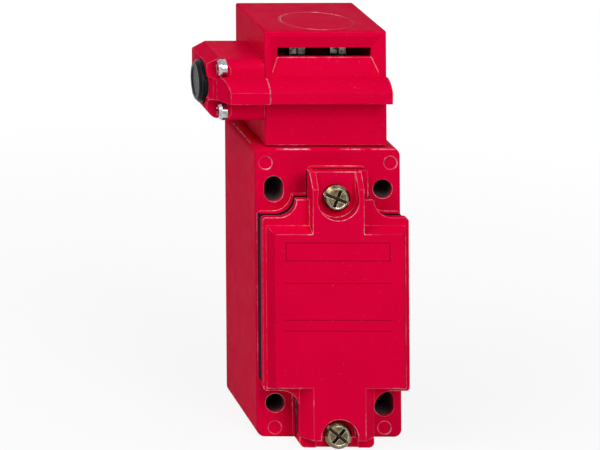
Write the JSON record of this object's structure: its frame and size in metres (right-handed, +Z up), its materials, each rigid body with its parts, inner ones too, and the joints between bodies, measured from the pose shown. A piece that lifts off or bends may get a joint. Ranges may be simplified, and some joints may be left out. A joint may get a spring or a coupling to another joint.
{
  "type": "tongue interlock switch",
  "caption": "Red metal guard safety switch with a slotted turret head for an actuator tongue, cam-driven plunger and contact block, and a side push button for release.",
  "frame": {"origin": "on the cable entry's axis, in the plane of the body's foot", "axes": "+X to the right seen from the front, +Y back to the mounting face, +Z up to the turret head"},
  "size_m": [0.0536, 0.0442, 0.1135],
  "materials": {
    "red_painted_casting": "glossy crimson paint over die casting",
    "dark_rubber": "matt moulded rubber",
    "yellow_zinc_steel": "yellow passivated zinc on steel",
    "zinc_steel": "clear zinc on steel",
    "spring_steel": "drawn spring wire",
    "bronze": "plain turned or stamped copper alloy",
    "black_plastic": "moulded thermoset",
    "white_plastic": "moulded plastic",
    "black_satin_plastic": "satin moulded plastic",
    "bright_chrome": "bright plated"
  },
  "bodies": {
    "housing": {"body_casting": "red_painted_casting", "cover_gasket": "dark_rubber", "front_cover": "red_painted_casting", "cover_screws": "yellow_zinc_steel", "head_gasket": "dark_rubber", "head_casting": "red_painted_casting", "head_screws": "zinc_steel", "shaft_bushes": "bronze", "plunger_guide": "bronze", "contact_block_base": "black_plastic", "contact_block_lid": "black_plastic", "block_fixing_screws": "zinc_steel", "fixed_contact_strips": "bronze", "terminal_clamps": "zinc_steel", "terminal_screws": "zinc_steel", "earth_clamp": "yellow_zinc_steel", "earth_screw": "yellow_zinc_steel", "button_housing": "red_painted_casting", "button_housing_gasket": "dark_rubber", "button_housing_screws": "bright_chrome"},
    "cams": {"cam_shaft": "zinc_steel", "cam_left": "zinc_steel", "cam_right": "zinc_steel", "drive_lobe": "zinc_steel", "lock_disc": "zinc_steel"},
    "plunger": {"plunger": "zinc_steel", "contact_carrier": "white_plastic", "contact_bridges": "bronze", "return_spring": "spring_steel"},
    "button": {"button_cap": "black_satin_plastic", "button_stem": "zinc_steel", "stem_clip": "spring_steel", "button_spring": "spring_steel"}
  },
  "joints": [
    {"name": "cam_turn", "type": "hinge", "parent": "housing", "child": "cams", "pos_m": [0, -0.0045, 0.0966], "axis": [-1, 0, 0], "range_deg": [0, 45]},
    {"name": "plunger_travel", "type": "slide", "parent": "housing", "child": "plunger", "axis": [0, 0, -1], "range_m": [0, 0.00413], "stiffness_N_per_m": 500, "springref_m": -0.002, "deforming": ["return_spring"]},
    {"name": "button_push", "type": "slide", "parent": "housing", "child": "button", "axis": [1, 0, 0], "range_m": [0, 0.0024], "stiffness_N_per_m": 400, "springref_m": -0.0015, "deforming": ["button_spring"]}
  ],
  "couplings": [
    {"joint": "cam_turn", "follows": "plunger_travel", "rad_per_m": 190}
  ]
}
